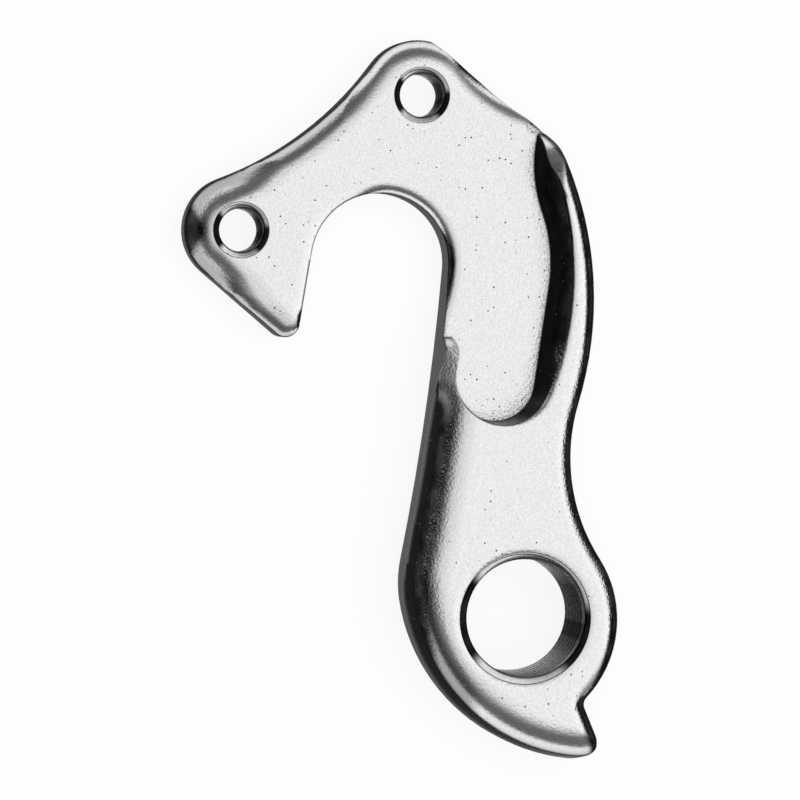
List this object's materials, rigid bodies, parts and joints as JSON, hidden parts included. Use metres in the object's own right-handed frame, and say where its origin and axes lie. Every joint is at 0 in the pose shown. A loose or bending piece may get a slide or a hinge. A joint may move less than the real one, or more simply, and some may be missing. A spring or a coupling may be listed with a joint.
{
  "type": "bicycle derailleur hanger",
  "caption": "Flat hooked hanger with a large threaded eye at its lower end, a curved neck, and a forked upper end with a milled seat, an axle slot and small threaded holes.",
  "frame": {"origin": "on the axis of the derailleur thread, at the flat outboard face", "axes": "+Z is the inboard direction, out of the side with the milled seat; +Y runs up the hanger from the derailleur thread to the upper frame screw; +X points to the rear, so that the forked end is at -X"},
  "size_m": [0.0331, 0.0557, 0.0076],
  "materials": {
    "hanger": "blasted, then tumbled to a soft satin sheen; the milled wall of the seat is smooth"
  },
  "bodies": {
    "root": {"hanger": "hanger"}
  },
  "joints": []
}
